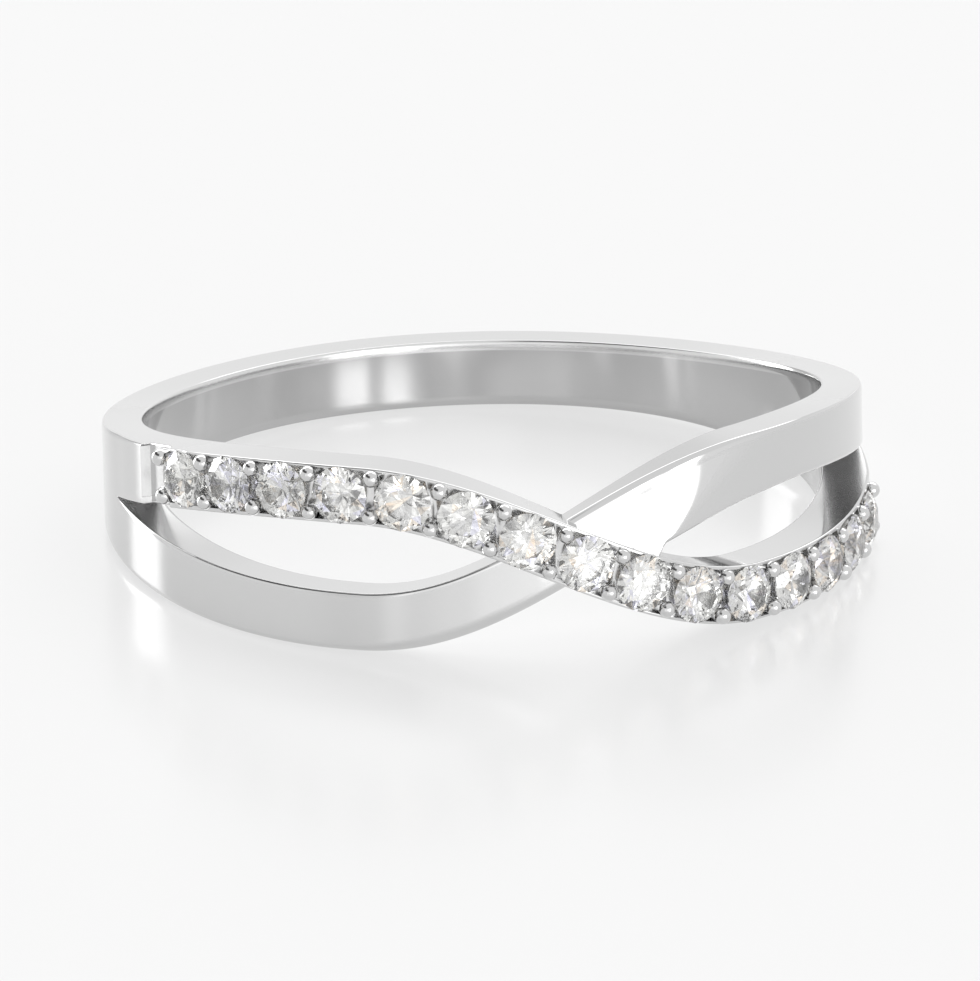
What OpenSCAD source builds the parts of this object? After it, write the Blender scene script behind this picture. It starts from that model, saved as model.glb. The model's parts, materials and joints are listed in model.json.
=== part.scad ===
// Crossover ring: one cast silver band that splits into two strands.
// The plain strand passes under the strand that carries a row of round stones.
// Angles run round the ring from the crossing, which faces -Y, towards +X.
// The ring lies on its side, resting on both strands and on the back of the band.

/* [Band] */
// Inside diameter, a usual size 7
bore_d = 17.3; // [15:0.1:20]
// Wall of the band and of the plain strand
wall_t = 1.07; // [0.9:0.01:1.2]
// Height of the band at the back
back_h = 1.74; // [1.5:0.02:2.2]
// Height over both strands at the front
front_h = 4.78; // [4.4:0.02:5.2]
// How fast the band narrows towards the back
taper_power = 2.1; // [1.8:0.1:3]

/* [Strands] */
// Width of each strand, square to its run
strand_w = 1.48; // [1.4:0.01:1.6]
// Angle from the crossing at which a strand has reached its edge
turn_angle = 32; // [28:1:34]
// Angle at which the front is at its full height
peak_angle = 35; // [34:1:40]
// Angle at which the two strands are one band again
split_angle = 86; // [80:1:90]
// How far the stone strand stands proud of the band
proud_t = 0.17; // [0.1:0.01:0.25]
// How far the plain strand sinks where it passes under
dip_t = 0.26; // [0.15:0.01:0.35]
// Angle over which the plain strand sinks
dip_angle = 26; // [22:1:34]

/* [Stones] */
// Stones in the row
stone_count = 15; // [13:1:15]
// Diameter of a stone
stone_d = 1.46; // [1.3:0.01:1.48]
// Spacing of the stones along the row
stone_pitch = 1.64; // [1.58:0.01:1.7]
// Angle of the middle stone past the crossing
row_shift = 1.9; // [-2:0.1:2]
// Width of the table over the diameter
table_ratio = 0.56; // [0.5:0.01:0.62]
// Height of the crown over the diameter
crown_ratio = 0.135; // [0.12:0.005:0.15]
// Depth of the pavilion over the diameter
pavilion_ratio = 0.43; // [0.4:0.01:0.45]
// Gap between a stone and its seat
seat_gap = 0.02; // [0.01:0.01:0.03]

/* [Beads] */
// Diameter of a bead that holds two stones
bead_d = 0.38; // [0.3:0.01:0.38]
// Distance of a bead from the middle of the row
bead_offset = 0.49; // [0.48:0.01:0.5]

/* [Hidden] */
$fn = 128;
small_fn = 32;                        // steps round a seat or a bead

bore_r = bore_d / 2;
band_r = bore_r + wall_t;             // outside of the band and the plain strand
proud_r = band_r + proud_t;           // outside of the stone strand
back_half = back_h / 2;
front_half = front_h / 2;
eye_half = front_half - strand_w;     // half height of the opening between the strands

// The plain strand's outside near the crossing is an arc of a wider circle, centred behind.
dip_r = band_r - dip_t;
dip_shift = (pow(band_r, 2) - pow(dip_r, 2)) / (2 * (dip_r - band_r * cos(dip_angle)));
dip_circle_r = dip_r + dip_shift;

channel_depth = 0.24;                 // metal cut away between the stones
channel_r = proud_r - channel_depth;
channel_angle = 73;                   // the cut ends here, on both sides
ramp_angle = 8;                       // the stone strand comes down to the band over this
rail_t = 0.08;                        // metal left along each edge of the strand
row_inset = 0.73;                     // row's middle line from the strand's outer edge

girdle_h = 0.03;                      // edge of a stone
girdle_lift = 0.07;
girdle_r = proud_r + girdle_lift;     // where the girdle's upper edge lies
stone_r = stone_d / 2;
star_ratio = 0.5;                     // how far a star reaches from the table to the girdle
lower_ratio = 0.24;                   // where the lower facets end, over the stone's radius
table_r = stone_r * table_ratio;
crown_h = stone_d * crown_ratio;
pavilion_h = stone_d * pavilion_ratio;
bead_r = bead_d / 2;
bead_root = 0.1;                      // a bead's stem starts this far under the channel's floor
bead_rise = 0.3;                      // top of a bead over the stone strand
bead_root_r = channel_r - bead_root;
bead_top_r = proud_r + bead_rise;
middle = (stone_count + 1) / 2;
spin = 17;                            // each stone lies turned a little further than the last

outline_step = 2;                     // degrees between the points of an outline
probe = 0.5;                          // a slope is taken over this angle on both sides
fine_step = 0.1;                      // degrees between the places tried for the eyes' start
eye_steps = 32;
eye_tip = 0.004;                      // half height left at the very ends of an opening
region_angle = 90;                    // the stone strand's region ends past the openings
reach = 3;                            // cutters run this far past the metal

// Half height of the whole band at an angle
function band_half(a) =
    let (x = max(0, (abs(a) - peak_angle) / (180 - peak_angle)))
    back_half + (front_half - back_half) * pow((1 + cos(180 * x)) / 2, taper_power);

// Share of the way from the crossing to the edge, -1 to 1
function turn_share(a) = sin(90 * min(1, max(-1, a / turn_angle)));

// Middle line of the stone strand; the plain strand has the same line upside down
function strand_mid(a) = -turn_share(a) * (band_half(a) - strand_w / 2);

// Climb of a line per millimetre round the band
function strand_slope(a) =
    (strand_mid(a + probe) - strand_mid(a - probe)) / (2 * probe * band_r * PI / 180);

// Half of a strand's height, which grows where it runs aslant
function strand_half(a) = strand_w / 2 * sqrt(1 + pow(strand_slope(a), 2));

// Upper edge of the whole metal, and of the opening between the strands
function outline_half(a) = abs(strand_mid(a)) + strand_half(a);
function eye_edge(a) =
    abs(a) < peak_angle
        ? abs(strand_mid(a)) - strand_half(a)
        : eye_half * cos(90 * (abs(a) - peak_angle) / (split_angle - peak_angle));

// Middle line of the row of stones
function row_z(a) = -turn_share(a) * (band_half(a) - row_inset);
function row_slope(a) = (row_z(a + probe) - row_z(a - probe)) / (2 * probe * girdle_r * PI / 180);

// Angle reached after a step along the row, from the slope half way
function row_step(a, s) =
    let (guess = s / (girdle_r * PI / 180) / sqrt(1 + pow(row_slope(a), 2)))
    a + s / (girdle_r * PI / 180) / sqrt(1 + pow(row_slope(a + guess / 2), 2));

// Angle of the place k pitches from the middle stone; halves are the beads' places
function row_angle(k) =
    abs(k) < 0.25 ? row_shift : row_step(row_angle(k - sign(k) / 2), sign(k) * stone_pitch / 2);

function at(r, a, z) = [r * sin(a), -r * cos(a), z];
function flat(r, a) = [r * sin(a), -r * cos(a)];

// Bead k sits between stones k and k + 1; side is 1 above the row and -1 below it
function bead_row_angle(k) = row_angle(k - middle + 0.5);
function bead_lean(k) = atan(row_slope(bead_row_angle(k)));
function bead_angle(k, side) =
    bead_row_angle(k) - side * bead_offset * sin(bead_lean(k)) / (girdle_r * PI / 180);
function bead_z(k, side) = row_z(bead_row_angle(k)) + side * bead_offset * cos(bead_lean(k));

// The tilt at which the strands' inner edges and the back's outer edge all touch the table
rest_tilt = max([for (a = [0:0.5:90])
    atan((outline_half(a) - back_half) / (band_r + bore_r * cos(a)))]);
rest_lift = band_r * sin(rest_tilt) + back_half * cos(rest_tilt);

// The ring is centred between its back and the bead that stands out furthest in front
back_reach = band_r * cos(rest_tilt) + back_half * sin(rest_tilt);
front_reach = bead_r + max([for (k = [0:stone_count]) for (side = [-1, 1])
    (bead_top_r - bead_r) * cos(bead_angle(k, side)) * cos(rest_tilt)
        - bead_z(k, side) * sin(rest_tilt)]);
rest_shift = (front_reach - back_reach) / 2;

function stone_name(i) = str("stone_", i < 10 ? "0" : "", i);

module at_rest() {
    translate([0, rest_shift, rest_lift]) rotate([-rest_tilt, 0, 0]) children();
}

// Stands a shape that was made along Z on the ring, pointing outwards
module on_ring(a, z, r) {
    translate(at(r, a, z)) rotate([90, 0, a]) children();
}

// A radial slab between two edge lines, given as lists of heights at the same angles
module slab(angles, low, high, r0, r1) {
    n = len(angles);
    points = concat(
        [for (k = [0:n - 1]) at(r0, angles[k], low[k])],
        [for (k = [0:n - 1]) at(r1, angles[k], low[k])],
        [for (k = [0:n - 1]) at(r1, angles[k], high[k])],
        [for (k = [0:n - 1]) at(r0, angles[k], high[k])]);
    sides = [for (k = [0:n - 2]) for (s = [0:3])
        let (t = (s + 1) % 4)
        [t * n + k, t * n + k + 1, s * n + k + 1, s * n + k]];
    ends = [[3 * n, 2 * n, n, 0], [n - 1, 2 * n - 1, 3 * n - 1, 4 * n - 1]];
    polyhedron(points, concat(sides, ends), convexity = 6);
}

// The band's heights all round, as one closed slab
module outline_slab() {
    n = 360 / outline_step;
    angles = [for (k = [0:n - 1]) -180 + k * outline_step];
    r0 = bore_r - reach;
    r1 = proud_r + reach;
    points = concat(
        [for (a = angles) at(r0, a, -outline_half(a))],
        [for (a = angles) at(r1, a, -outline_half(a))],
        [for (a = angles) at(r1, a, outline_half(a))],
        [for (a = angles) at(r0, a, outline_half(a))]);
    faces = [for (k = [0:n - 1]) for (s = [0:3])
        let (m = (k + 1) % n, t = (s + 1) % 4)
        [t * n + k, t * n + m, s * n + m, s * n + k]];
    polyhedron(points, faces, convexity = 6);
}

// The angle at which the opening between the strands begins
eye_start = max([for (a = [0:fine_step:peak_angle]) if (eye_edge(a) < 0) a]) + fine_step;

module eye(side) {
    angles = [for (k = [0:eye_steps])
        side * (eye_start + (split_angle - eye_start) * k / eye_steps)];
    ordered = side > 0 ? angles : [for (k = [len(angles) - 1:-1:0]) angles[k]];
    heights = [for (a = ordered) max(eye_tip, eye_edge(a))];
    slab(ordered, -heights, heights, bore_r - reach, proud_r + reach);
}

// Seen along the bore, the proud front with a ramp at each end
module proud_outline() {
    end_a = channel_angle + ramp_angle;
    intersection() {
        circle(r = proud_r);
        polygon([[0, 0], flat(band_r, -end_a), flat(proud_r, -channel_angle),
            flat(2 * proud_r, -channel_angle / 2), flat(2 * proud_r, channel_angle / 2),
            flat(proud_r, channel_angle), flat(band_r, end_a)]);
    }
}

// Seen along the bore, the band with the sunk front of the plain strand
module plain_outline() {
    intersection() {
        circle(r = band_r);
        translate([0, dip_shift]) circle(r = dip_circle_r);
    }
}

// The stone strand's region: exact over the plain strand, and past the free edges elsewhere
module stone_region() {
    angles = [for (a = [-region_angle:outline_step:region_angle]) a];
    high = [for (a = angles) a < 0 ? 2 * reach : max(0, strand_mid(a) + strand_half(a))];
    low = [for (a = angles) a > 0 ? -2 * reach : min(0, strand_mid(a) - strand_half(a))];
    slab(angles, low, high, bore_r - reach, proud_r + 2 * reach);
}

module channel() {
    n = round(2 * channel_angle / outline_step);
    angles = [for (k = [0:n]) channel_angle * (2 * k / n - 1)];
    half = strand_w / 2 - rail_t;
    low = [for (a = angles) row_z(a) - half * sqrt(1 + pow(row_slope(a), 2))];
    high = [for (a = angles) row_z(a) + half * sqrt(1 + pow(row_slope(a), 2))];
    difference() {
        slab(angles, low, high, bore_r, proud_r + reach);
        cylinder(r = channel_r, h = 4 * reach, center = true);
    }
}

// Room for one stone, a cone that opens straight to the outside
module seat() {
    wide = stone_r + seat_gap;
    deep = (pavilion_h + girdle_h) * wide / stone_r;
    rotate_extrude($fn = small_fn)
        polygon([[0, -girdle_h - deep], [wide, -girdle_h], [wide, reach], [0, reach]]);
}

module bead() {
    stem = bead_top_r - bead_root_r - bead_r;
    cylinder(r = bead_r, h = stem, $fn = small_fn);
    translate([0, 0, stem]) sphere(r = bead_r, $fn = small_fn);
}

module beads() {
    for (k = [0:stone_count]) for (side = [-1, 1])
        on_ring(bead_angle(k, side), bead_z(k, side), bead_root_r) bead();
}

module stone_place(i) {
    a = row_angle(i - middle);
    on_ring(a, row_z(a), girdle_r) rotate(i * spin) children();
}

module ring_body() {
    color("silver") at_rest() {
        difference() {
            intersection() {
                union() {
                    translate([0, 0, -reach]) linear_extrude(2 * reach) plain_outline();
                    intersection() {
                        translate([0, 0, -1.5 * reach]) linear_extrude(3 * reach) proud_outline();
                        stone_region();
                    }
                }
                outline_slab();
            }
            for (side = [-1, 1]) eye(side);
            channel();
            for (i = [1:stone_count]) stone_place(i) seat();
            cylinder(r = bore_r, h = 4 * reach, center = true);
        }
        beads();
    }
}

// A round brilliant: table, 8 stars, 8 kites and 16 girdle facets over a pavilion of 24
module brilliant() {
    star_r = table_r * cos(22.5) + (stone_r - table_r * cos(22.5)) * star_ratio;
    star_z = crown_h * (stone_r - star_r * cos(22.5)) / (stone_r - table_r);
    low_r = stone_r * lower_ratio;
    low_z = -girdle_h - pavilion_h * (1 - low_r * cos(22.5) / stone_r);
    ring = [for (k = [0:7]) 45 * k];
    points = concat(
        [for (b = ring) [table_r * cos(b), table_r * sin(b), crown_h]],
        [for (b = ring) [star_r * cos(b + 22.5), star_r * sin(b + 22.5), star_z]],
        [for (k = [0:15]) [stone_r * cos(22.5 * k), stone_r * sin(22.5 * k), 0]],
        [for (k = [0:15]) [stone_r * cos(22.5 * k), stone_r * sin(22.5 * k), -girdle_h]],
        [for (b = ring) [low_r * cos(b + 22.5), low_r * sin(b + 22.5), low_z]],
        [[0, 0, -girdle_h - pavilion_h]]);
    star = 8;
    rim = 16;
    foot = 32;
    low = 48;
    culet = 56;
    faces = concat(
        [[for (k = [7:-1:0]) k]],
        [for (k = [0:7]) [k, (k + 1) % 8, star + k]],
        [for (k = [0:7]) [k, star + k, rim + 2 * k, star + (k + 7) % 8]],
        [for (k = [0:7]) [star + k, rim + 2 * k + 1, rim + 2 * k]],
        [for (k = [0:7]) [star + k, rim + (2 * k + 2) % 16, rim + 2 * k + 1]],
        [for (k = [0:15]) [rim + k, rim + (k + 1) % 16, foot + (k + 1) % 16, foot + k]],
        [for (k = [0:7]) [low + k, foot + 2 * k, foot + 2 * k + 1]],
        [for (k = [0:7]) [low + k, foot + 2 * k + 1, foot + (2 * k + 2) % 16]],
        [for (k = [0:7]) [culet, low + (k + 7) % 8, foot + 2 * k, low + k]]);
    polyhedron(points, faces, convexity = 2);
}

module stone(i) {
    color("white") at_rest() stone_place(i) brilliant();
}

ring_body();
for (i = [1:stone_count]) stone(i);
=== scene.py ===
# %% [markdown]
# A crossover ring with a row of clear stones
#
# The real ring is cast in sterling silver, plated with rhodium and mirror polished.
# Its band splits at the front into two strands. The plain strand passes under the
# strand that carries fifteen cubic zirconias, each held by small beads of metal that
# a setter raises with a graver. This lesson rebuilds its metal skin, gives the stones
# their material and lights it as for a catalogue.
#
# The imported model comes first, because it gives the true size and place of everything.

# %% Load the fixed frame
import bmesh
import bpy
import json
import numpy as np
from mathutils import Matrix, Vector


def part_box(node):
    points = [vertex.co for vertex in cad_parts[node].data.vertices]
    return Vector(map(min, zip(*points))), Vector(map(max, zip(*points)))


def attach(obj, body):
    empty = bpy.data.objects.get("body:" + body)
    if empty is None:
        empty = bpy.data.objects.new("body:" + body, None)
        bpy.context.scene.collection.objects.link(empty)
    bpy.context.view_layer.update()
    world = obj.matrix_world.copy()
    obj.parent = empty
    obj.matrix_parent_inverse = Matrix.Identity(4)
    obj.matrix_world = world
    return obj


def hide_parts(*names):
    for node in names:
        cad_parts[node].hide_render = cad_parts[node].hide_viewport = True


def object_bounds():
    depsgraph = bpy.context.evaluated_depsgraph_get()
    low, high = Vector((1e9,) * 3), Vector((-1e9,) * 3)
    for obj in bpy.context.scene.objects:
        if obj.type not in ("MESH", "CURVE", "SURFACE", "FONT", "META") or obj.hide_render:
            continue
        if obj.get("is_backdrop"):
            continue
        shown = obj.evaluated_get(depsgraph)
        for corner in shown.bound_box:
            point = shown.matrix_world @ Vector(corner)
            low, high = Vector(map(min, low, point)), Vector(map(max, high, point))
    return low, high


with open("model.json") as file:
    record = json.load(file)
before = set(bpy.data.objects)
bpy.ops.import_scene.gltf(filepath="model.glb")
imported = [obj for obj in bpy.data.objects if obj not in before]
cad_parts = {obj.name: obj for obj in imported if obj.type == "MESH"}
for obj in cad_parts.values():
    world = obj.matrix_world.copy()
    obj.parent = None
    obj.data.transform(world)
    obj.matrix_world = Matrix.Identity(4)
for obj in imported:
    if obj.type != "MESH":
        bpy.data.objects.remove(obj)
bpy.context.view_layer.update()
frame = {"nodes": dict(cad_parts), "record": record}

# %% [markdown]
# A ring maker works from a few sizes: the bore, the wall, the height in front and
# behind, and the width of a strand. They are repeated here in millimetres, as they
# stand in the part's source, so that the skin falls exactly where the solid is.

# %% Sizes of the ring in millimetres, angles in degrees from the crossing
BORE_R, WALL, PROUD = 8.65, 1.07, 0.17
BAND_R = BORE_R + WALL
PROUD_R = BAND_R + PROUD
BACK_HALF, FRONT_HALF = 0.87, 2.39
TAPER_POWER = 2.1
STRAND_W = 1.48
TURN_ANGLE, PEAK_ANGLE, SPLIT_ANGLE = 32.0, 35.0, 86.0
EYE_HALF = FRONT_HALF - STRAND_W

STONE_COUNT, STONE_R, STONE_PITCH = 15, 0.73, 1.64
ROW_SHIFT, ROW_INSET = 1.9, 0.73
GIRDLE_RISE, GIRDLE_H, PAVILION_SHARE = 0.07, 0.03, 0.43
SEAT_PLAY, CHANNEL_DEPTH, RAIL_W = 0.02, 0.24, 0.08
GIRDLE_R, SEAT_R = PROUD_R + GIRDLE_RISE, STONE_R + SEAT_PLAY
PAVILION_H = PAVILION_SHARE * 2 * STONE_R
CHANNEL_R, CHANNEL_HALF = PROUD_R - CHANNEL_DEPTH, STRAND_W / 2 - RAIL_W
DEG = np.pi / 180


def smooth(x):
    """0 below 0, 1 above 1, and between them three x squared less two x cubed."""
    x = np.clip(x, 0.0, 1.0)
    return x * x * (3 - 2 * x)


def rise(x, start, end):
    """From 0 at start to 1 at end along that curve."""
    return smooth((x - start) / (end - start))


def fall(x, start, end):
    """From 1 at start to 0 at end along that curve."""
    return smooth((end - x) / (end - start))


print("wall", WALL, "mm, opening between the strands", round(2 * EYE_HALF, 2), "mm")

# %% [markdown]
# Every edge of the ring is a height that depends on the angle round the finger.
# Worked out as functions of an array of angles, a whole edge comes in one call, and
# both strands share the same lines, one of them upside down.

# %% Heights of the edges round the ring
def band_half(a):
    """Half the band's height: full in front, then a cosine from front to back to a power."""
    x = np.clip((np.abs(a) - PEAK_ANGLE) / (180 - PEAK_ANGLE), 0, None)
    return BACK_HALF + (FRONT_HALF - BACK_HALF) * ((1 + np.cos(np.pi * x)) / 2) ** TAPER_POWER


def turn_share(a):
    """Share of the way from the crossing to the edge: a quarter sine wave each way."""
    return np.sin(np.pi / 2 * np.clip(a / TURN_ANGLE, -1, 1))


def climb(line, a, r):
    """Climb of a line per millimetre round a circle of radius r, from half a degree each way."""
    return (line(a + 0.5) - line(a - 0.5)) / (r * DEG)


def strand_mid(a):
    """Middle line of the stone strand: down from upper left to lower right."""
    return -turn_share(a) * (band_half(a) - STRAND_W / 2)


def strand_half(a):
    """Half the strand's height, which grows with its slope so that its width stays even."""
    return STRAND_W / 2 * np.sqrt(1 + climb(strand_mid, a, BAND_R) ** 2)


def outline_half(a):
    """Height of the whole ring's upper edge."""
    return np.abs(strand_mid(a)) + strand_half(a)


def eye_edge(a):
    """Upper edge of the opening between the strands; it closes along a cosine."""
    near = np.abs(strand_mid(a)) - strand_half(a)
    far = (np.abs(a) - PEAK_ANGLE) / (SPLIT_ANGLE - PEAK_ANGLE)
    return np.where(np.abs(a) < PEAK_ANGLE, near, EYE_HALF * np.cos(np.pi / 2 * far))


def row_z(a):
    """Middle line of the row of stones, at an even distance from the ring's edge."""
    return -turn_share(a) * (band_half(a) - ROW_INSET)


def stone_top(a):
    """Upper edge of the stone strand: the ring's edge on the left, the opening's on the right."""
    return np.where(a < 0, outline_half(a), -eye_edge(a))


def stone_low(a):
    """Lower edge of the stone strand."""
    return np.where(a < 0, eye_edge(a), -outline_half(a))


print("front", round(float(2 * outline_half(np.array(PEAK_ANGLE))), 2), "mm high, back", 2 * BACK_HALF)

# %% [markdown]
# Stones are spaced with dividers along the row, not by angle. The length walked along
# the row is summed up from its slope, and the places of stones and beads are read
# back from it at whole and half pitches.

# %% Places of the stones and of the beads between them
WALK_END, STEPS_PER_DEGREE = 85, 40
walk_a = np.linspace(-WALK_END, WALK_END, 2 * WALK_END * STEPS_PER_DEGREE + 1)
walk_s = np.concatenate([[0], np.cumsum(np.diff(walk_a) * GIRDLE_R * DEG * np.sqrt(
    1 + climb(row_z, (walk_a[1:] + walk_a[:-1]) / 2, GIRDLE_R) ** 2))])
middle_s = np.interp(ROW_SHIFT, walk_a, walk_s)
half_steps = np.arange(-STONE_COUNT, STONE_COUNT + 1)
places = np.interp(middle_s + half_steps * STONE_PITCH / 2, walk_s, walk_a)
bead_places, stone_places = places[0::2], places[1::2]
print("stones at", np.round(stone_places, 1))

# %% [markdown]
# The bore's mount in the record says where the ring's middle is and how far it leans
# on the table. Everything is worked out upright, round the bore, and laid down at the
# end with this one turn and shift.

# %% The ring's place on the table
mount = frame["record"]["mounts"][0]
LEAN = np.arctan2(mount["axis"][1], mount["axis"][2])
MIDDLE = np.array(mount["pos_m"])


def round_bore(r, a, z):
    """Points upright round the bore: the angle starts at -Y and grows towards +X."""
    return np.stack([r * np.sin(a * DEG), -r * np.cos(a * DEG), z], axis=-1)


def laid_down(p):
    """Millimetres upright to metres on the table: a turn about X, then the bore's place."""
    x, y, z = p[..., 0], p[..., 1], p[..., 2]
    c, s = np.cos(LEAN), np.sin(LEAN)
    return np.stack([x, y * c + z * s, z * c - y * s], axis=-1) / 1000 + MIDDLE


print("leans", round(float(LEAN / DEG), 2), "degrees")
seen = laid_down(round_bore(GIRDLE_R, stone_places, row_z(stone_places)))
told = [sum(map(Vector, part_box(f"stone_{i:02d}")), Vector()) / 2 for i in range(1, STONE_COUNT + 1)]
print("stones off by at most", round(1000 * float(np.abs(seen - np.array(told)).max()), 3), "mm")

# %% [markdown]
# A strand's cross-section is a rectangle with rounded corners, bent round the finger.
# It could be swept and bevelled, but bevels fail where the strands merge to points.
# Here the section's loop is written out for every angle at once: the outer face, and
# then down the far side. A polishing wheel takes more off along a face than across the
# edge, so each corner is a quarter ellipse, and its size may change along the strand
# and goes to nothing where the two strands meet.

# %% One strand's section as a loop of rows
CORNER_ROWS, CROWDING = 9, 1.6
TURNS = np.pi / 2 * (1 - (1 - np.linspace(0, 1, CORNER_ROWS)[:, None]) ** CROWDING)
FLAT, FLAT_IN, ROUND, STAY = 0.38, 0.25, 0.06, 0.03


def strand_rows(z, r, top, low, bore, corner):
    """Rows of radius and height round the section.

    z and r are the outer face's rows, low to high. A corner of size c leaves the face
    at c from the edge and turns by a sine along it and a cosine across it. Up to the
    size ROUND it is a circle, and a larger one is flatter, down to FLAT or FLAT_IN times
    its size. Its rows lie closer where it turns fastest, towards the sides. STAY is the
    distance of the extra row beside each corner, which keeps sides flat.
    """
    up, down, up_in, down_in = corner
    deep_up, deep_down = (np.maximum(FLAT * c, np.minimum(c, ROUND)) for c in (up, down))
    in_up, in_down = (np.maximum(FLAT_IN * c, np.minimum(c, ROUND)) for c in (up_in, down_in))
    sin, cos = np.sin(TURNS), np.cos(TURNS)
    rows = {"face": (r, z)}
    rows["up"] = (r[-1] - deep_up * (1 - cos[1:]), top - up * (1 - sin[1:]))
    rows["top"] = (np.stack([r[-1] - deep_up - STAY, bore + in_up + STAY]), np.stack([top, top]))
    rows["up_in"] = (bore + in_up * (1 - cos[::-1]), top - up_in * (1 - sin[::-1]))
    start, end = top - up_in, low + down_in
    quarters = [0.75 * start + 0.25 * end, (start + end) / 2, 0.25 * start + 0.75 * end]
    inside = np.stack([start - STAY, *quarters, end + STAY])
    rows["bore"] = (bore + 0 * inside, inside)
    rows["down_in"] = (bore + in_down * (1 - cos), low + down_in * (1 - sin))
    rows["low"] = (np.stack([bore + in_down + STAY, r[0] - deep_down - STAY]), np.stack([low, low]))
    rows["down"] = (r[0] - deep_down * (1 - cos[:0:-1]), low + down * (1 - sin[:0:-1]))
    return rows


ORDER = ("face", "up", "top", "up_in", "bore", "down_in", "low", "down")


def stacked(rows, names=ORDER):
    """The named rows one after another, as one array of radii and one of heights."""
    return tuple(np.concatenate([rows[n][k] for n in names]) for k in (0, 1))


# %% [markdown]
# The wheel and the plating bath reach the outside everywhere, but hardly the narrow
# ends of the openings and the channel under the stones, where the bare silver stays
# whiter and a little dull; its whiter tone is partly painted light, which lifts the shade
# in these narrow places. The bore is painted a darker grey, as painted shade inside the
# ring, and at the back its upper edge is made matt and painted lighter, as painted light.
# This is kept as a number for each point, from the names of the rows, and the material
# reads it: up to 1 on dull silver with painted light, 0 outside and -1 for the bore's
# painted shade.

# %% How dull each row stays, and where light and shade are painted
# -1 in the bore paints it a darker grey, as painted shade inside the ring.
OUTSIDE_AND_BORE_SHADE = {"face": 0, "up": 0, "down": 0, "bore": -1, "down_in": -1}
# Near the tips of the openings and in the channel the silver is matt and painted whiter, partly as painted
# light.
TIP_DULL_AND_PAINTED_LIGHT = 50, 72
CHANNEL_DULL_AND_PAINTED_LIGHT, LEFT_TIP_ABOVE, LEFT_TIP_BELOW = 0.8, 0.8, 0.6


def dull_and_painted_shading_rows(rows, on_top, on_low, names=ORDER, edge=-1.0):
    """0 outside and -1 for the painted shade in the bore; on both sides and the bore's upper edge what is
    given.
    """
    share = {**OUTSIDE_AND_BORE_SHADE, "top": on_top, "low": on_low, "up_in": edge}
    return np.concatenate([share[n] + 0 * rows[n][1] for n in names])


def opening_dull_and_painted_light(a, is_opening):
    """0 along an opening's side, growing to 1 near its tip, and 0 on the ring's edge."""
    return np.where(is_opening, rise(np.abs(a), *TIP_DULL_AND_PAINTED_LIGHT), 0)


# %% [markdown]
# Polishing rounds every edge a little. The bore is rounded well, for comfort; the
# stone strand's edges stay crisp beside the setting; and the plain strand gets a broad
# soft shoulder where it dives under the other. Along an opening the rounding fades
# before the tip, where two edges meet.

# %% Roundings of the edges in millimetres
EDGE, CRISP_EDGE, BORE_EDGE, SHOULDER = 0.14, 0.05, 0.24, 0.36
STONE_EYE_EDGE, PLAIN_EYE_EDGE, INNER_EYE_EDGE = 0.05, 0.10, 0.10
EYE_FADE, INNER_START = 12, (8, 13)


def eye_share(a):
    """Share of the rounding that an opening's edges keep: none at its outer tip."""
    return fall(np.abs(a), SPLIT_ANGLE - EYE_FADE, SPLIT_ANGLE)


def inner_round(a):
    """Rounding of an opening's edges in the bore: none at the crossing or at the tips."""
    return rise(np.abs(a), *INNER_START) * INNER_EYE_EDGE * eye_share(a)


def corners(outer_edge, eye_outer, eye_inner, left_is_top, a):
    """The four corners' sizes along a strand: two at the ring's edge, two at the opening."""
    on_top = (a < 0) == left_is_top
    inner = np.full_like(a, BORE_EDGE)
    return (np.where(on_top, outer_edge, eye_outer), np.where(on_top, eye_outer, outer_edge),
            np.where(on_top, inner, eye_inner), np.where(on_top, eye_inner, inner))


# %% [markdown]
# The stone strand carries the setting. A channel is milled along its middle, and then
# a conical seat for each stone. On this surface they are a radius for each angle and
# height: the strand's own radius, lowered to the channel's floor between two lines,
# and lowered again to whichever cone lies deepest.

# %% The stone strand with its channel and seats
WALL_ANGLE, WALL_TURN, RAILS_END = 73.0, 0.35, (65.5, 67.0)
SLANT_ANGLE, SLANT_TURN = 69.5, 2.5
SLOPE_END, EASED = 86.0, 0.3
GROOVE, GROOVE_HALF = 0.07, 0.25
CHANNEL_END, CRISP_UNTIL, EVEN_FROM = 73.4, (76, 85), (77, 85)
SIDE_STEP, FLOOR_ROWS, STONE_COLUMNS = 0.002, 34, 603
strand_a = np.linspace(-SPLIT_ANGLE, SPLIT_ANGLE, STONE_COLUMNS)
floor_z = np.linspace(-1, 1, FLOOR_ROWS) * (CHANNEL_HALF - SIDE_STEP)
across = np.concatenate([[-CHANNEL_HALF - SIDE_STEP], floor_z, [CHANNEL_HALF + SIDE_STEP]])


def face_rows(a, top, low, up, down, even):
    """Heights of the outer face's rows: beside the row of stones, and even near the ends."""
    lean = np.sqrt(1 + climb(row_z, a, GIRDLE_R) ** 2)
    lines = row_z(a) + across[:, None] * lean
    lines = np.concatenate([[low + down], lines, [top - up]])
    plain = (low + down) + np.linspace(0, 1, len(lines))[:, None] * (top - up - low - down)
    return lines + (plain - lines) * even


def slope(u):
    """Height of the strand's end slope: eased along a square at first, then straight to 1."""
    return np.where(u < EASED, u ** 2 / (2 * EASED), u - EASED / 2) / (1 - EASED / 2)


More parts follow.
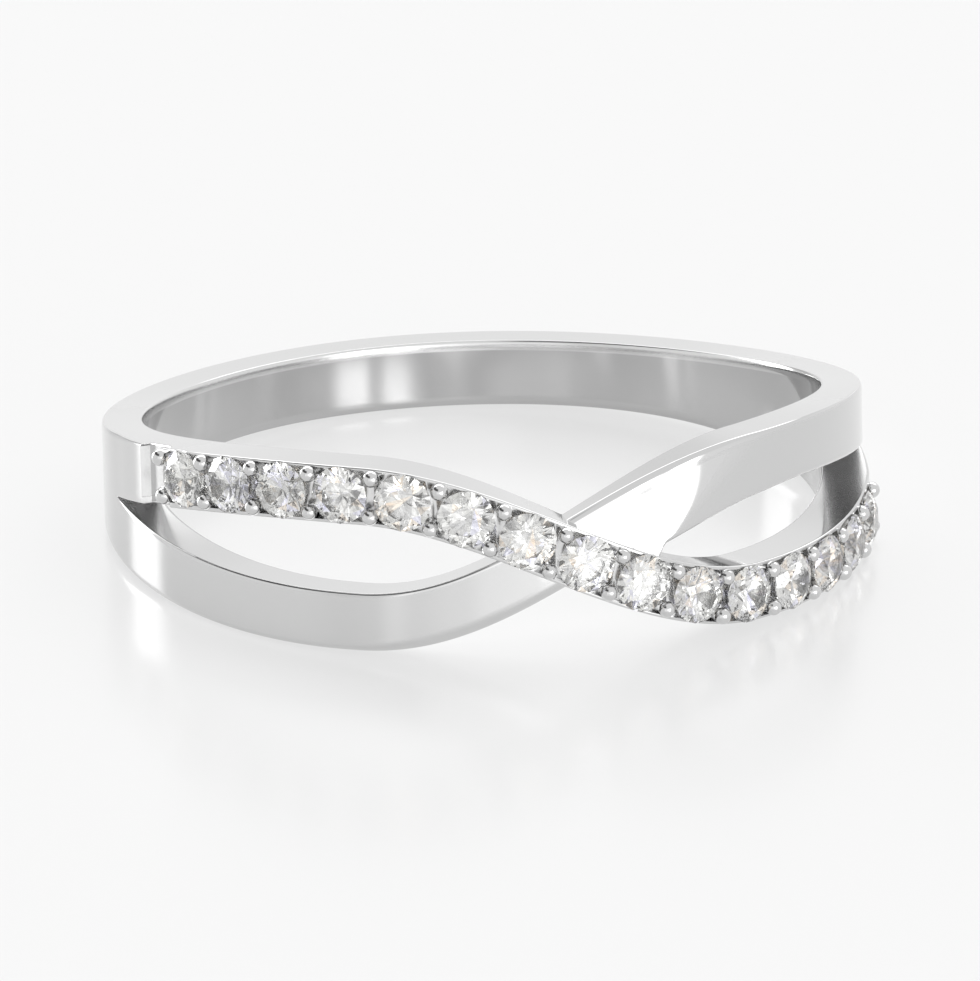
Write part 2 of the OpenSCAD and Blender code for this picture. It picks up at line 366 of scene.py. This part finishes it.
def stone_face(a, z):
    """Radius of the setting: strand, channel floor with slanted ends, grooves and seats.

    The strand slopes down to the band past both ends of the row. A graver's groove
    runs across the channel at every pair of beads, a V as deep at its middle as GROOVE
    says. Past the first stone the rails are cut down too, so there the channel ends in
    a wall from edge to edge; past the last it ends in a slant.
    """
    u = np.clip((SLOPE_END - np.abs(a)) / (SLOPE_END - WALL_ANGLE), 0, 1)
    strand = BAND_R + (PROUD_R - BAND_R) * slope(u)
    up_the_end = np.where(a < 0, (-a - WALL_ANGLE) / WALL_TURN, (a - SLANT_ANGLE) / SLANT_TURN)
    floor = CHANNEL_R + (PROUD_R - CHANNEL_R) * np.clip(up_the_end, 0, 1)
    cut_down = rise(-a, *RAILS_END) * (-a < WALL_ANGLE)
    rail = strand - (PROUD_R - CHANNEL_R) * cut_down
    off = np.abs(z - row_z(a)) / np.sqrt(1 + climb(row_z, a, GIRDLE_R) ** 2)
    across_groove = np.abs(a[:, None] - bead_places).min(axis=1) * DEG * GIRDLE_R
    floor = floor - GROOVE * np.clip(1 - across_groove / GROOVE_HALF, 0, 1)
    r = np.where(off < CHANNEL_HALF, np.minimum(strand, floor), rail + 0 * z)
    turn = (a[None, :, None] - stone_places) * DEG
    near = np.hypot(GIRDLE_R * np.sin(turn), z[:, :, None] - row_z(stone_places))
    deep = (PAVILION_H + GIRDLE_H) * SEAT_R / STONE_R
    cone = (GIRDLE_R - GIRDLE_H - deep * (1 - near / SEAT_R)) / np.cos(turn)
    return np.minimum(r, np.where(near < SEAT_R, cone, np.inf).min(axis=2))


a = strand_a
crisp = CRISP_EDGE + (EDGE - CRISP_EDGE) * rise(np.abs(a), *CRISP_UNTIL)
corner = corners(crisp, STONE_EYE_EDGE * eye_share(a), inner_round(a), True, a)
z = face_rows(a, stone_top(a), stone_low(a), corner[0], corner[1], rise(np.abs(a), *EVEN_FROM))
stone_strand = strand_rows(z, stone_face(a, z), stone_top(a), stone_low(a), BORE_R + 0 * a, corner)
stone_dull_and_painted_shading = dull_and_painted_shading_rows(stone_strand, opening_dull_and_painted_light(a, a > 0), LEFT_TIP_ABOVE * opening_dull_and_painted_light(a, a < 0))
# The channel's floor is matt and painted whiter, partly as painted light that lifts its shade.
stone_dull_and_painted_shading[2:len(z) - 2] = CHANNEL_DULL_AND_PAINTED_LIGHT * (np.abs(a) < CHANNEL_END)
print("stone strand:", z.size, "points on its face, deepest seat at radius",
      round(float(stone_strand["face"][0].min()), 2))

# %% [markdown]
# The plain strand is smooth. It sinks a quarter of a millimetre where it passes
# under, a little deeper and further along its upper edge on the right, and there its
# outer edges are polished away to a broad soft shoulder. Inside the other strand it
# shrinks away from it, so no two surfaces share one place. To the right it is also
# broader than a line of even width, and a small web of metal blunts the tip of the
# opening: its lower edge bends down there and meets the other strand steeply.

# %% The plain strand, which passes under
DIP, DIP_ANGLE, DIP_SLANT, TOP_DIP, TOP_START = 0.26, 26.0, 0.34, 0.12, (-5, 0)
WEB, WEB_OVERLAP, SHOULDER_TO = (12.6, 15.0), 0.06, (10, 44)
BROADER, BROADER_FROM, BROADER_TO = 0.28, (2, 8), (17, 44)
PLAIN_COLUMNS = 345
plain_a = np.linspace(-SPLIT_ANGLE, SPLIT_ANGLE, PLAIN_COLUMNS)
a = plain_a
top, low = -stone_low(a), -stone_top(a)
low = low - fall(a, *WEB) * (a > 0) * np.clip(2 * eye_edge(a) + WEB_OVERLAP, 0, None)
low = low - BROADER * fall(a, *BROADER_TO) * rise(a, *BROADER_FROM)
shoulder = EDGE + (SHOULDER - EDGE) * fall(np.abs(a), *SHOULDER_TO)
corner = corners(shoulder, PLAIN_EYE_EDGE * eye_share(a), inner_round(a), False, a)
rows = np.linspace(0, 1, len(across) + 2)[:, None]
z = low + corner[1] + rows * (top - corner[0] - low - corner[1])
reach = DIP_ANGLE * (1 + DIP_SLANT * (2 * rows - 1) * (a > 0))
depth = DIP + TOP_DIP * rows * rise(a, *TOP_START)
sunk = BAND_R - depth * np.cos(np.pi / 2 * np.clip(a / reach, -1, 1)) ** 2
plain_strand = strand_rows(z, sunk, top, low, BORE_R + 0 * a, corner)
plain_dull_and_painted_shading = dull_and_painted_shading_rows(plain_strand, LEFT_TIP_BELOW * opening_dull_and_painted_light(a, a < 0), opening_dull_and_painted_light(a, a > 0))
CLEAR_ANGLE, CLEAR_DOWN, DOWN_OVER = 16, 0.45, (0.15, 0.40)
CLEAR_UP, UP_OVER = 0.03, (0.02, 0.08)


def clear_of_stone_strand(r, z, a):
    """Draws points back where they lie inside the other strand: outer ones down, bore ones up."""
    inside = np.minimum(z - stone_low(a), stone_top(a) - z)
    share = np.clip((r - BORE_R) / (BAND_R - DIP - BORE_R), 0, 1)
    down = CLEAR_DOWN * rise(inside, *DOWN_OVER) * share
    up = CLEAR_UP * rise(inside, *UP_OVER) * (1 - share)
    return r + (np.abs(a) < CLEAR_ANGLE) * (up - down)


print("plain strand sinks to radius", round(float(sunk.min()), 2))

# %% [markdown]
# Behind the points of the openings the two strands are one band. Its loop is made of
# the same rows, the lower strand's and the upper strand's, without the sides between
# them, so its ends fit the strands' ends point for point and can be merged.

# %% The band behind the openings
BACK_EDGE_MATT_AND_LIGHT, BACK_EDGE_FROM, BAND_COLUMNS = 0.9, (88, 118), 189
UPPER_ROWS = ("face", "up", "top", "up_in", "bore", "down_in")
LOWER_ROWS = ("bore", "down_in", "low", "down")
band_a = np.linspace(SPLIT_ANGLE, 360 - SPLIT_ANGLE, BAND_COLUMNS)
b = 180 - np.abs(180 - band_a)
none, half = 0 * b, outline_half(b)
upper = strand_rows(EDGE * none + rows * (half - EDGE), BAND_R + 0 * rows * b, half, none,
                    BORE_R + none, (EDGE + none, none, BORE_EDGE + none, none))
lower = strand_rows(-half + EDGE + rows * (half - EDGE), BAND_R + 0 * rows * b, none, -half,
                    BORE_R + none, (none, EDGE + none, none, BORE_EDGE + none))
upper["face"] = tuple(x[1:] for x in upper["face"])
upper["down_in"] = tuple(x[-1:] for x in upper["down_in"])
band = [np.concatenate(p) for p in zip(
    stacked(lower, ("face",)), stacked(upper, UPPER_ROWS), stacked(lower, LOWER_ROWS))]
# At the back the bore's upper edge is made matt and painted lighter, as painted light, in place of the
# bore's painted shade.
back_edge_matt_and_light = (BACK_EDGE_MATT_AND_LIGHT + 1) * rise(b, *BACK_EDGE_FROM) - 1
band_dull_and_painted_shading = np.concatenate([dull_and_painted_shading_rows(lower, 0, 0, ("face",)), dull_and_painted_shading_rows(upper, 0, 0, UPPER_ROWS, back_edge_matt_and_light),
                            dull_and_painted_shading_rows(lower, 0, 0, LOWER_ROWS)])
print("band:", band[0].shape, "rows and columns")

# %% [markdown]
# The three surfaces go into one mesh. Their loops close on themselves, their ends
# meet, and merging the doubled points makes one closed skin, as on the real ring,
# where the metal is one casting. Edges sharper than 40 degrees are kept crisp, so
# that the setting doesn't look soft.

# %% Put a set of closed loops into one mesh
MERGE, SHARP = 1e-7, 40


def loop_faces(rows_n, columns, start):
    """Four-sided faces of a grid whose rows close into a loop and whose columns don't."""
    i, j = np.meshgrid(np.arange(rows_n), np.arange(columns - 1), indexing="ij")
    k = (i + 1) % rows_n
    corner_ids = np.stack([i * columns + j, i * columns + j + 1, k * columns + j + 1, k * columns + j], -1)
    return start + corner_ids.reshape(-1, 4)


def new_piece(name, points, faces, dull_and_painted_shading):
    """A mesh object from points in metres; doubles are merged and leftovers removed."""
    mesh = bpy.data.meshes.new(name)
    mesh.from_pydata(points.tolist(), [], faces.tolist())
    mesh.attributes.new("dull_and_painted_shading", "FLOAT", "POINT").data.foreach_set("value", dull_and_painted_shading.astype(np.float32))
    work = bmesh.new()
    work.from_mesh(mesh)
    bmesh.ops.remove_doubles(work, verts=work.verts, dist=MERGE)
    bmesh.ops.dissolve_degenerate(work, edges=work.edges, dist=MERGE)
    bmesh.ops.recalc_face_normals(work, faces=work.faces)
    odd = sum(1 for e in work.edges if len(e.link_faces) != 2)
    work.to_mesh(mesh)
    volume = work.calc_volume(signed=True) * 1e9
    work.free()
    mesh.shade_smooth()
    mesh.set_sharp_from_angle(angle=SHARP * DEG)
    piece = bpy.data.objects.new(name, mesh)
    bpy.context.collection.objects.link(piece)
    print(name, len(mesh.polygons), "faces,", odd, "edges not shared by two,", round(volume, 2), "mm3")
    return piece


parts, faces, start = [], [], 0
dull_and_painted_shading = np.concatenate([x.ravel() for x in (stone_dull_and_painted_shading, plain_dull_and_painted_shading, band_dull_and_painted_shading)])
r, z = stacked(plain_strand)
for radius, height, angle in ((*stacked(stone_strand), strand_a),
                              (clear_of_stone_strand(r, z, plain_a), z, plain_a), (*band, band_a)):
    parts.append(laid_down(round_bore(radius, angle + 0 * radius, height)).reshape(-1, 3))
    faces.append(loop_faces(*radius.shape, start))
    start += radius.size
metal = new_piece("ring_metal", np.concatenate(parts), np.concatenate(faces), dull_and_painted_shading)
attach(metal, "root")
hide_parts("ring_body")

# %% [markdown]
# A bead is a curl of metal pushed up with a graver and rounded with a cupped tool. Two
# of them hold each gap between stones. Each is one profile, a stem and a dome that
# overhangs it a little, turned about its own axis, and all 32 are worked out together.
# They are made by hand, so each has a slightly different size and place.

# %% Beads between the stones
BEAD_R, BEAD_OFFSET, BEAD_RISE, BEAD_ROOT = 0.19, 0.49, 0.30, 0.1
STEM_SHARE, OVERHANG = 0.8, -0.5
HAND_SIZE, HAND_SINK, HAND_ASIDE = (1.04, 1.18), 0.03, 0.02
BEAD_TOP = PROUD_R + BEAD_RISE
lean = np.arctan(climb(row_z, bead_places, GIRDLE_R))
side = np.array([-1.0, 1.0])[:, None]
bead_a = (bead_places - side * BEAD_OFFSET * np.sin(lean) / (GIRDLE_R * DEG)).ravel()
bead_z = (row_z(bead_places) + side * BEAD_OFFSET * np.cos(lean)).ravel()
SIDES, DOME = 24, 9
t = np.linspace(OVERHANG, np.pi / 2, DOME)
out = np.concatenate([[0, STEM_SHARE * BEAD_R], BEAD_R * np.cos(t)])
foot, spring = CHANNEL_R - BEAD_ROOT, BEAD_TOP - BEAD_R
height = np.concatenate([[foot, foot], spring + BEAD_R * np.sin(t)])
turn = np.linspace(0, 2 * np.pi, SIDES, endpoint=False)
u = out[:, None] * np.cos(turn)
v = out[:, None] * np.sin(turn)
ca, sa = np.cos(bead_a * DEG)[:, None, None], np.sin(bead_a * DEG)[:, None, None]
h = height[:, None] + 0 * u
by_hand = np.random.default_rng(4)
size = by_hand.uniform(*HAND_SIZE, bead_a.shape)[:, None, None]
h = BEAD_TOP + (h - BEAD_TOP) * size - by_hand.uniform(0, HAND_SINK, bead_a.shape)[:, None, None]
u, v = u * size + by_hand.uniform(-HAND_ASIDE, HAND_ASIDE, bead_a.shape)[:, None, None], v * size
points = np.stack([h * sa + u * ca, -h * ca + u * sa, bead_z[:, None, None] + v + 0 * ca], -1)
i, j = np.meshgrid(np.arange(len(out) - 1), np.arange(SIDES), indexing="ij")
k = (j + 1) % SIDES
one_bead = np.stack([i * SIDES + j, i * SIDES + k, (i + 1) * SIDES + k, (i + 1) * SIDES + j], -1)
starts = np.arange(len(bead_a))[:, None, None] * len(out) * SIDES
every = (one_bead.reshape(1, -1, 4) + starts).reshape(-1, 4)
beads = new_piece("beads", laid_down(points).reshape(-1, 3), every, np.zeros(points.size // 3))
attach(beads, "root")
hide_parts("ring_body")

# %% [markdown]
# Materials are small node trees. One helper adds a node, sets its sockets and links
# it, and one function turns the hex colours of a paint chart into linear light.

# %% Helpers for materials
def linear(code):
    """sRGB hex to linear: below 0.04045 divided by 12.92, above it a power of 2.4."""
    c = np.array([int(code[k:k + 2], 16) for k in (1, 3, 5)]) / 255
    return (*np.where(c <= 0.04045, c / 12.92, ((c + 0.055) / 1.055) ** 2.4).tolist(), 1.0)


def add(tree, kind, sockets=None, links=None, **settings):
    """Adds a node, sets its settings and sockets, and links outputs into its inputs."""
    node = tree.nodes.new(kind)
    for name, value in settings.items():
        setattr(node, name, value)
    for name, value in (sockets or {}).items():
        node.inputs[name].default_value = value
    for name, source in (links or {}).items():
        tree.links.new(source, node.inputs[name])
    return node


def new_material(name):
    """An empty node material and its tree."""
    material = bpy.data.materials.new(name)
    material.use_nodes = True
    material.node_tree.nodes.clear()
    return material, material.node_tree


# %% [markdown]
# Rhodium over silver is a cool grey metal, darker than bare silver, with a mirror
# polish. A buffing wheel leaves a faint waviness, here 1.4 mm wide, and hairlines,
# here 0.11 mm apart and so coarser than real ones. They hardly show by themselves, but
# they keep the mirror from looking computed. The number that each point carries paints
# the bore a darker grey, as painted shade, and makes the bare silver matt and whiter;
# the whiter tone is partly painted light.

# %% Rhodium-plated sterling silver, mirror polished
WAVES_PER_M, HAIRS_PER_M = 700.0, 9000.0
rhodium, tree = new_material("rhodium_plated_silver")
place = add(tree, "ShaderNodeTexCoord").outputs["Object"]
wave = add(tree, "ShaderNodeTexNoise", {"Scale": WAVES_PER_M, "Detail": 1.0}, {"Vector": place})
stretch = add(tree, "ShaderNodeMapping", {"Scale": (1.0, 1.0, 12.0)}, {"Vector": place})
hairs = add(tree, "ShaderNodeTexNoise", {"Scale": HAIRS_PER_M, "Detail": 2.0},
            {"Vector": stretch.outputs["Vector"]})
soft = add(tree, "ShaderNodeBump", {"Strength": 0.02, "Distance": 0.0002},
           {"Height": wave.outputs["Fac"]})
fine = add(tree, "ShaderNodeBump", {"Strength": 0.008, "Distance": 0.00002},
           {"Height": hairs.outputs["Fac"], "Normal": soft.outputs["Normal"]})
dull_and_painted_shading = add(tree, "ShaderNodeAttribute", attribute_name="dull_and_painted_shading").outputs["Fac"]
dull_and_painted_light_share = add(tree, "ShaderNodeMapRange", {}, {"Value": dull_and_painted_shading}).outputs["Result"]
bore_painted_shade = add(tree, "ShaderNodeMapRange", {"From Min": 0.0, "From Max": -1.0}, {"Value": dull_and_painted_shading})
bore_painted_shade = bore_painted_shade.outputs["Result"]
haze = add(tree, "ShaderNodeMapRange", {"To Min": 0.05, "To Max": 0.09},
           {"Value": wave.outputs["Fac"]})
matt = add(tree, "ShaderNodeMath", {1: 0.16}, {0: dull_and_painted_light_share, 2: haze.outputs["Result"]},
           operation="MULTIPLY_ADD")
# The bore's darker grey is painted shade.
plated_with_painted_bore_shade = add(tree, "ShaderNodeMix", {"A": linear("#D2D2D2"), "B": linear("#BEBEBE")},
             {"Factor": bore_painted_shade}, data_type="RGBA")
# The whiter tone near the tips, in the channel and on the back edge of the bore is partly painted light.
tone_with_painted_light = add(tree, "ShaderNodeMix", {"B": linear("#DADADA")},
           {"Factor": dull_and_painted_light_share, "A": plated_with_painted_bore_shade.outputs["Result"]}, data_type="RGBA")
skin = add(tree, "ShaderNodeBsdfPrincipled", {"Metallic": 1.0},
           {"Base Color": tone_with_painted_light.outputs["Result"], "Roughness": matt.outputs[0],
            "Normal": fine.outputs["Normal"]})
add(tree, "ShaderNodeOutputMaterial", links={"Surface": skin.outputs["BSDF"]})
for piece in (metal, beads):
    piece.data.materials.append(rhodium)
print("silver on", metal.name, "and", beads.name)

# %% [markdown]
# Cubic zirconia bends light more than any glass, with an index of 2.16, and its flat
# facets send it back in hard splinters of light and dark. The stones are the CAD's own
# solids, cut as round brilliants, so their facets stay flat and only the material is
# new. A tint for each facet, by chance, stands for the warm and violet flashes of its
# fire and for how unevenly the facets of such small stones send light back.

# %% Colourless cubic zirconia
zirconia, tree = new_material("cubic_zirconia")
facing = add(tree, "ShaderNodeNewGeometry").outputs["True Normal"]
fire = add(tree, "ShaderNodeTexWhiteNoise", {}, {"Vector": facing}, noise_dimensions="3D")
tint = add(tree, "ShaderNodeValToRGB", links={"Fac": fire.outputs["Value"]})
ramp = tint.color_ramp
ramp.interpolation = "CONSTANT"
ramp.elements[0].position, ramp.elements[0].color = 0.0, linear("#F6F6F4")
ramp.elements[1].position, ramp.elements[1].color = 0.94, linear("#E2E2FC")
for position, code in ((0.25, "#D2D2D0"), (0.50, "#B2B2B2"), (0.72, "#E4E4E0"), (0.86, "#E8D6C2")):
    ramp.elements.new(position).color = linear(code)
glass = add(tree, "ShaderNodeBsdfPrincipled", {"Roughness": 0.0, "IOR": 2.16, "Transmission Weight": 1.0},
            {"Base Color": tint.outputs["Color"]})
add(tree, "ShaderNodeOutputMaterial", links={"Surface": glass.outputs["BSDF"]})
for i in range(1, STONE_COUNT + 1):
    frame["nodes"][f"stone_{i:02d}"].data.materials[0] = zirconia
print("zirconia on", STONE_COUNT, "stones")

# %% [markdown]
# The ring lies on a sheet of white acrylic, which gives it a faint reflection and a
# soft shadow. Light passes through such a sheet from below as well, which keeps the
# shadow pale. The gloss is a clear coat over the glowing white, because at a grazing
# angle a glossy face mirrors the tent and hides what glows below it. A plain square is
# enough; it is part of the stage and not of the object.

# %% White sheet
sheet, tree = new_material("white_acrylic_sheet")
board = add(tree, "ShaderNodeBsdfPrincipled", {
    "Base Color": linear("#848484"), "Specular IOR Level": 0.0, "Coat Weight": 1.0, "Coat Roughness": 0.2,
    "Emission Color": linear("#FFFFFF"), "Emission Strength": 0.65})
add(tree, "ShaderNodeOutputMaterial", links={"Surface": board.outputs["BSDF"]})
SPAN = 1.5
floor_mesh = bpy.data.meshes.new("floor")
floor_mesh.from_pydata([(-SPAN, -SPAN, 0), (SPAN, -SPAN, 0), (SPAN, SPAN, 0), (-SPAN, SPAN, 0)], [],
                       [(0, 1, 2, 3)])
floor_mesh.materials.append(sheet)
floor = bpy.data.objects.new("floor", floor_mesh)
bpy.context.collection.objects.link(floor)
floor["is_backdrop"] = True

# %% [markdown]
# Polished metal shows nothing but its surroundings, so the surroundings are the
# lighting. The ring stands in a white tent. Low on its wall are two soft boxes at the
# front right and one at the back left, which the metal shows by way of the glossy
# sheet. Higher up a long panel at the back draws white lines along the upper edges,
# and a black board at the front left draws dark ones and gives the beads their dark
# caps. All of it is painted on the directions of the world, with soft edges: two
# colour ramps hold the levels round the ring, by degrees from -Y towards +X, and the
# height of a direction picks between them and the bare tent.

# %% The tent as two bands of light by azimuth
world = bpy.data.worlds.new("tent")
bpy.context.scene.world = world
world.use_nodes = True
tree = world.node_tree
tree.nodes.clear()
way = add(tree, "ShaderNodeTexCoord").outputs["Generated"]
part_of = add(tree, "ShaderNodeSeparateXYZ", links={"Vector": way}).outputs
azimuth = add(tree, "ShaderNodeMath", links={0: part_of["X"], 1: part_of["Y"]}, operation="ARCTAN2")
share = add(tree, "ShaderNodeMapRange", {"From Min": np.pi, "From Max": -np.pi},
            {"Value": azimuth.outputs[0]})
BRIGHTEST, BARE_TENT = 8.0, 0.118
WALL_TOP, PANEL_FOOT, PANEL_TOP = (0.27, 0.42), (0.46, 0.57), (0.80, 0.91)
LOW = [(0, 0.22), (10, 0.25), (14, 0.50), (19, 0.50), (22, 0.20), (25, 0.20), (27.5, 0.64), (35, 0.64),
       (41, 0.13), (90, 0.12), (130, 0.13), (185, 0.13), (195, 0.07), (210, 0.10), (216, 1.0),
       (229, 1.0), (235, 0.12), (290, 0.12), (305, 0.10), (314, 0.11), (320, 0.17), (330, 0.14),
       (350, 0.17), (360, 0.22)]
HIGH = [(0, 0.12), (100, 0.12), (125, 0.35), (215, 0.35), (224, 0.12), (236, 0.012),
        (326, 0.012), (342, 0.12), (360, 0.12)]
rings = []
for stops in (LOW, HIGH):
    ring = add(tree, "ShaderNodeValToRGB", links={"Fac": share.outputs["Result"]})
    ramp = ring.color_ramp
    ramp.interpolation = "EASE"
    ramp.elements.remove(ramp.elements[0])
    for k, (degrees, level) in enumerate(stops):
        stop = ramp.elements[0] if k == 0 else ramp.elements.new(degrees / 360)
        stop.position, stop.color = degrees / 360, (level, level, level, 1.0)
    rings.append(ring.outputs["Color"])
steps = [add(tree, "ShaderNodeMapRange", {"From Min": start, "From Max": end}, {"Value": part_of["Z"]},
             interpolation_type="SMOOTHSTEP").outputs["Result"]
         for start, end in (WALL_TOP, PANEL_FOOT, PANEL_TOP)]
wall = add(tree, "ShaderNodeMix", {"B": BARE_TENT}, {"A": rings[0], "Factor": steps[0]}, data_type="FLOAT")
panel = add(tree, "ShaderNodeMix", {}, {"A": wall.outputs["Result"], "B": rings[1], "Factor": steps[1]},
            data_type="FLOAT")
roof = add(tree, "ShaderNodeMix", {"B": BARE_TENT}, {"A": panel.outputs["Result"], "Factor": steps[2]},
           data_type="FLOAT")
level = add(tree, "ShaderNodeMath", {1: BRIGHTEST}, {0: roof.outputs["Result"]}, operation="MULTIPLY")
light = add(tree, "ShaderNodeBackground", {"Color": linear("#FFFFFF")}, {"Strength": level.outputs[0]})
add(tree, "ShaderNodeOutputWorld", links={"Surface": light.outputs["Background"]})
print("tent with", len(LOW), "and", len(HIGH), "stops")

# %% [markdown]
# One lamp over the tent adds a soft pool of light on the sheet. It is hidden from mirror
# reflections, so the metal shows only the tent.

# %% Lamp over the tent
lamp_data = bpy.data.lights.new("overhead", "AREA")
lamp_data.shape, lamp_data.size, lamp_data.energy = "SQUARE", 0.5, 0.08
lamp = bpy.data.objects.new("overhead", lamp_data)
lamp.location = (0.0, 0.05, 0.6)
lamp.visible_glossy = False
bpy.context.collection.objects.link(lamp)

# %% [markdown]
# The camera stands 0.29 m away, 20 degrees above the table and 13 degrees to the left
# of the crossing, with a long lens. Its place was found by fitting the ring's own
# edges to the photograph. It is turned so that the ring's middle falls on its pixel.

# %% Camera
DISTANCE, ELEVATION, AZIMUTH = 0.29442, 20.414 * DEG, 13.215 * DEG
PIXELS, MIDDLE_PIXEL, FOCAL = (980, 981), (482.84, 458.90), 39.059 * 294.42
SENSOR = 36.0
camera_data = bpy.data.cameras.new("camera")
camera_data.sensor_fit, camera_data.sensor_width = "HORIZONTAL", SENSOR
camera_data.lens = FOCAL * SENSOR / PIXELS[0]
camera_data.clip_start, camera_data.clip_end = 0.01, 10.0
camera = bpy.data.objects.new("camera", camera_data)
bpy.context.collection.objects.link(camera)
bpy.context.scene.camera = camera
centre = Vector(MIDDLE.tolist())
back = Vector((-np.sin(AZIMUTH) * np.cos(ELEVATION), -np.cos(AZIMUTH) * np.cos(ELEVATION),
               np.sin(ELEVATION)))
camera.location = centre + back * DISTANCE
right = Vector((0, 0, 1)).cross(back).normalized()
up = back.cross(right)
off_x = (PIXELS[0] / 2 - MIDDLE_PIXEL[0]) / FOCAL * DISTANCE
off_y = (PIXELS[1] / 2 - MIDDLE_PIXEL[1]) / FOCAL * DISTANCE
aim = centre + right * off_x - up * off_y
camera.rotation_mode = "QUATERNION"
camera.rotation_quaternion = (aim - camera.location).to_track_quat("-Z", "Y")
print("lens", round(camera_data.lens, 1), "mm")

# %% [markdown]
# Light passes from facet to facet many times before it leaves a cut stone, so more
# bounces are allowed than usual, and no reflection is blurred to save time. The
# standard view keeps the sheet white and the metal's greys as they are.

# %% Light paths and view
BOUNCES = 20
scene = bpy.context.scene
scene.view_settings.view_transform = "Standard"
scene.cycles.max_bounces = scene.cycles.glossy_bounces = scene.cycles.transmission_bounces = BOUNCES
scene.cycles.blur_glossy = 0.0
print(BOUNCES, "bounces,", scene.view_settings.view_transform, "view")

# %% [markdown]
# At the end the dressed ring is measured once more. Its box should fill the solid
# model's box, as the new skin only rounds what the solids leave sharp.

# %% Size of the dressed ring
low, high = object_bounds()
print("visual box, mm:", [round(1000 * x, 3) for x in (*low, *high)])
